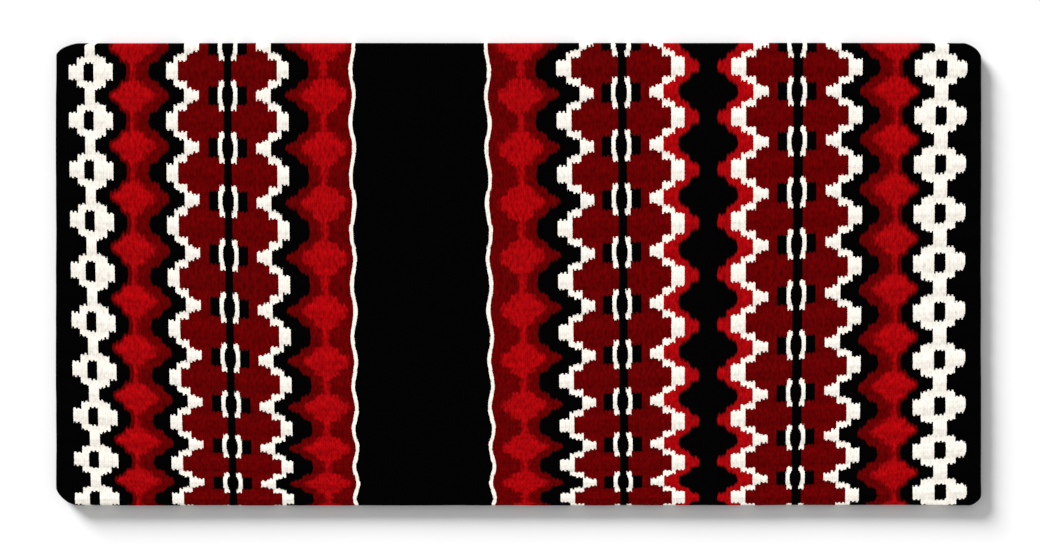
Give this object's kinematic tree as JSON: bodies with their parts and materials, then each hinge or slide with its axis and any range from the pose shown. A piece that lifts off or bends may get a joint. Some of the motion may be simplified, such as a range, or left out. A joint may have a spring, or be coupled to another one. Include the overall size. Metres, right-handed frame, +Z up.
{
  "type": "saddle blanket",
  "caption": "Wool show saddle blanket folded over its spine, with stepped tapestry bands; its flaps hinge open to lie flat or to hang down each side of the horse.",
  "frame": {"origin": "on the floor under the middle of the folded blanket", "axes": "+X from the front of the blanket to its rear, +Y from the hems to the fold, +Z up from the floor"},
  "size_m": [0.9636, 0.482, 0.012],
  "materials": {
    "black_wool": "weft-faced wool weave, black, matt",
    "cream_wool": "weft-faced wool weave, cream white, matt",
    "red_wool": "weft-faced wool weave, bright red, matt",
    "dark_red_wool": "weft-faced wool weave, dark red, matt"
  },
  "bodies": {
    "off_side": {"off_front_border": "black_wool", "off_front_chain": "cream_wool", "off_front_outer_red": "red_wool", "off_front_medallion": "dark_red_wool", "off_front_inner_red": "red_wool", "off_front_line": "cream_wool", "off_saddle_field": "black_wool", "off_rear_line": "cream_wool", "off_rear_inner_red": "red_wool", "off_rear_medallion_fore": "dark_red_wool", "off_rear_diamond": "black_wool", "off_rear_medallion_aft": "dark_red_wool", "off_rear_outer_red": "red_wool", "off_rear_chain": "cream_wool", "off_rear_border": "black_wool", "off_selvage_warp": "black_wool"},
    "spine": {"spine_front_border": "black_wool", "spine_front_chain": "cream_wool", "spine_front_outer_red": "red_wool", "spine_front_medallion": "dark_red_wool", "spine_front_inner_red": "red_wool", "spine_front_line": "cream_wool", "spine_saddle_field": "black_wool", "spine_rear_line": "cream_wool", "spine_rear_inner_red": "red_wool", "spine_rear_medallion_fore": "dark_red_wool", "spine_rear_diamond": "black_wool", "spine_rear_medallion_aft": "dark_red_wool", "spine_rear_outer_red": "red_wool", "spine_rear_chain": "cream_wool", "spine_rear_border": "black_wool"},
    "near_side": {"near_front_border": "black_wool", "near_front_chain": "cream_wool", "near_front_outer_red": "red_wool", "near_front_medallion": "dark_red_wool", "near_front_inner_red": "red_wool", "near_front_line": "cream_wool", "near_saddle_field": "black_wool", "near_rear_line": "cream_wool", "near_rear_inner_red": "red_wool", "near_rear_medallion_fore": "dark_red_wool", "near_rear_diamond": "black_wool", "near_rear_medallion_aft": "dark_red_wool", "near_rear_outer_red": "red_wool", "near_rear_chain": "cream_wool", "near_rear_border": "black_wool", "near_selvage_warp": "black_wool"}
  },
  "joints": [
    {"name": "off_fold", "type": "hinge", "parent": "off_side", "child": "spine", "pos_m": [0, 0.23924, 0.00174], "axis": [-1, 0, 0], "range_deg": [0, 90]},
    {"name": "near_fold", "type": "hinge", "parent": "spine", "child": "near_side", "pos_m": [0, 0.23924, 0.01026], "axis": [-1, 0, 0], "range_deg": [0, 90]}
  ]
}
